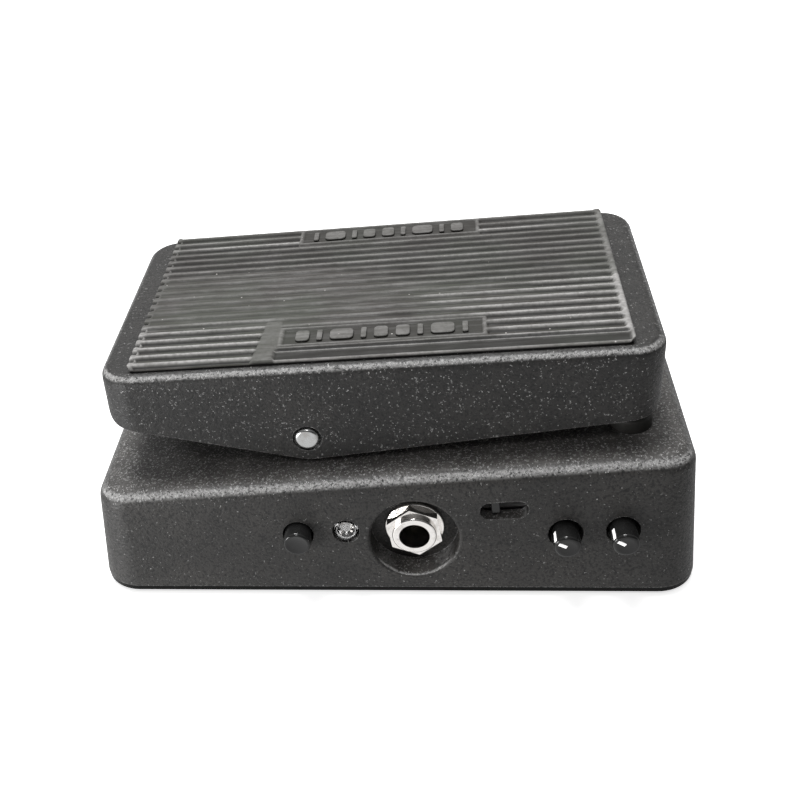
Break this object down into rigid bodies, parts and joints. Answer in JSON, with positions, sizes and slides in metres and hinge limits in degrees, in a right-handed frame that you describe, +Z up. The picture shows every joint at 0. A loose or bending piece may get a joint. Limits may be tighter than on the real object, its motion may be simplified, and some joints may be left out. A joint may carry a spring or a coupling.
{
  "type": "treadle effects pedal",
  "caption": "Compact rocking-treadle effects pedal with a ribbed rubber pad, cast shell, side jack, push button, lamp, slide switch and two small knobs.",
  "frame": {"origin": "on the floor under the middle of the base", "axes": "+X to the toe end, -Y to the side with the controls, +Z up"},
  "size_m": [0.1296, 0.084, 0.0578],
  "materials": {
    "body_coat": "black wrinkle powder coat on cast metal",
    "pad_rubber": "ribbed black rubber, dusty from use",
    "bumper_rubber": "soft black rubber",
    "bright_nickel": "bright nickel plate",
    "steel": "turned steel",
    "plate_steel": "black zinc on sheet steel",
    "nylon": "natural nylon",
    "black_plastic": "glossy black moulding",
    "switch_plastic": "black switch housing",
    "led_lens": "water-clear lens",
    "board_green": "solder-masked board",
    "aluminium_case": "bare aluminium case",
    "capacitor_black": "sleeved can",
    "inductor_yellow": "taped inductor"
  },
  "bodies": {
    "base": {"base_housing": "body_coat", "non_slip_mat": "bumper_rubber", "toe_bumpers": "bumper_rubber", "heel_bumpers": "bumper_rubber", "bottom_plate": "plate_steel", "bottom_plate_screws": "steel", "pivot_bushes": "nylon", "input_jack_body": "bright_nickel", "output_jack_body": "bright_nickel", "input_jack_washer": "bright_nickel", "output_jack_washer": "bright_nickel", "input_jack_nut": "bright_nickel", "output_jack_nut": "bright_nickel", "dc_power_inlet": "black_plastic", "dc_power_pin": "bright_nickel", "dc_power_inlet_nut": "switch_plastic", "boost_switch_body": "switch_plastic", "status_led": "led_lens", "range_switch_body": "steel", "q_pot_body": "switch_plastic", "volume_pot_body": "switch_plastic", "side_control_board": "board_green", "circuit_board": "board_green", "circuit_board_screws": "steel", "inductor": "inductor_yellow", "capacitors": "capacitor_black", "chips": "switch_plastic", "footswitch_body": "steel", "footswitch_washer": "bright_nickel", "footswitch_nut": "bright_nickel", "rack_guide": "nylon", "pot_bracket": "steel", "pot_bracket_screws": "steel", "sweep_pot_body": "aluminium_case", "sweep_pot_nut": "bright_nickel"},
    "treadle": {"treadle": "body_coat", "treadle_pad": "pad_rubber", "pivot_shaft": "bright_nickel", "switch_pad": "bumper_rubber", "rack_clevis": "steel", "rack_clevis_screws": "steel", "rack_pin": "steel"},
    "rack": {"gear_rack": "nylon"},
    "sweep_pot": {"pinion_gear": "nylon", "sweep_pot_shaft": "steel"},
    "footswitch_plunger": {"footswitch_plunger": "bright_nickel"},
    "boost_button": {"boost_button": "black_plastic"},
    "range_switch_lever": {"range_switch_lever": "black_plastic"},
    "q_knob": {"q_knob": "black_plastic"},
    "volume_knob": {"volume_knob": "black_plastic"}
  },
  "joints": [
    {"name": "treadle_tilt", "type": "hinge", "parent": "base", "child": "treadle", "pos_m": [-0.017, 0, 0.0354], "axis": [0, -1, 0], "range_deg": [-1.8, 14]},
    {"name": "rack_slide", "type": "slide", "parent": "base", "child": "rack", "axis": [0, 0, 1], "range_m": [-0.0016, 0.0089]},
    {"name": "sweep_pot_turn", "type": "hinge", "parent": "base", "child": "sweep_pot", "pos_m": [0.0114, 0, 0.0165], "axis": [0, -1, 0], "range_deg": [-17, 91]},
    {"name": "footswitch_press", "type": "slide", "parent": "base", "child": "footswitch_plunger", "axis": [0, 0, -1], "range_m": [0, 0.0018], "stiffness_N_per_m": 2000, "springref_m": -0.0004},
    {"name": "boost_button_press", "type": "slide", "parent": "base", "child": "boost_button", "axis": [0, 1, 0], "range_m": [0, 0.0015], "stiffness_N_per_m": 800, "springref_m": -0.0003},
    {"name": "range_switch_slide", "type": "slide", "parent": "base", "child": "range_switch_lever", "axis": [0.9974, 0, 0.0722], "range_m": [-0.0013, 0.0047]},
    {"name": "q_knob_turn", "type": "hinge", "parent": "base", "child": "q_knob", "pos_m": [0.0363, -0.0395, 0.0163], "axis": [0, 1, 0], "range_deg": [-65, 225]},
    {"name": "volume_knob_turn", "type": "hinge", "parent": "base", "child": "volume_knob", "pos_m": [0.048, -0.0395, 0.0171], "axis": [0, 1, 0], "range_deg": [-65, 225]}
  ],
  "couplings": [
    {"joint": "rack_slide", "follows": "treadle_tilt", "m_per_rad": 0.036},
    {"joint": "sweep_pot_turn", "follows": "treadle_tilt", "ratio": 6.4286}
  ]
}
